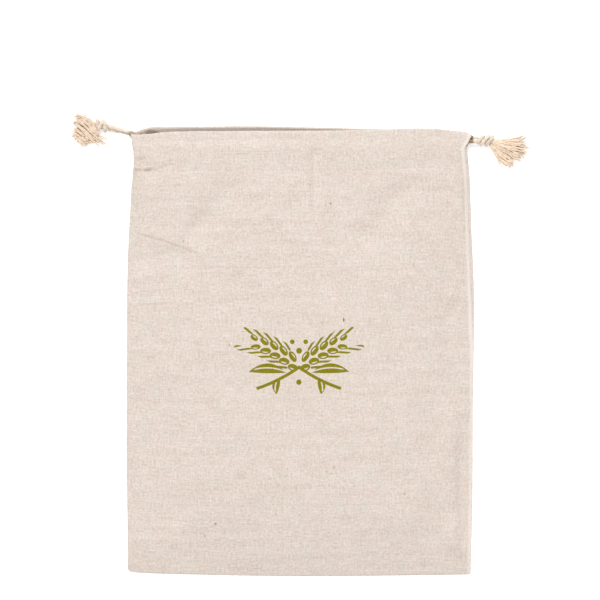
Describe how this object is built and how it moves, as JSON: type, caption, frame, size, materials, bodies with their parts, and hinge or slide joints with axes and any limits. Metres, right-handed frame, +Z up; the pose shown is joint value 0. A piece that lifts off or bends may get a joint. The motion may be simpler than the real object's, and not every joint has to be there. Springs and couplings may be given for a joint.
{
  "type": "linen bread bag",
  "caption": "Flat linen drawstring bag for bread, empty and lying on its back, with a twisted cord knotted into a tassel at each top corner.",
  "frame": {"origin": "the middle of the bag's flat underside, where it lies on a table; the cords, knots and tassels are left out of that middle", "axes": "+X to the right across the bag, +Y along the bag towards its mouth, +Z up, out of the front panel"},
  "size_m": [0.4134, 0.4157, 0.016],
  "materials": {
    "linen": "natural plain weave of linen and cotton, pale oatmeal with darker flecks, matt",
    "drawcord": "twisted two-ply cotton cord, undyed cream, matt",
    "tassel": "loose unravelled cotton yarns, undyed cream, matt"
  },
  "bodies": {
    "root": {"front_panel": "linen", "back_panel": "linen", "drawcord_left": "drawcord", "drawcord_right": "drawcord", "knot_left": "drawcord", "knot_right": "drawcord", "tassel_left": "tassel", "tassel_right": "tassel"}
  },
  "joints": []
}
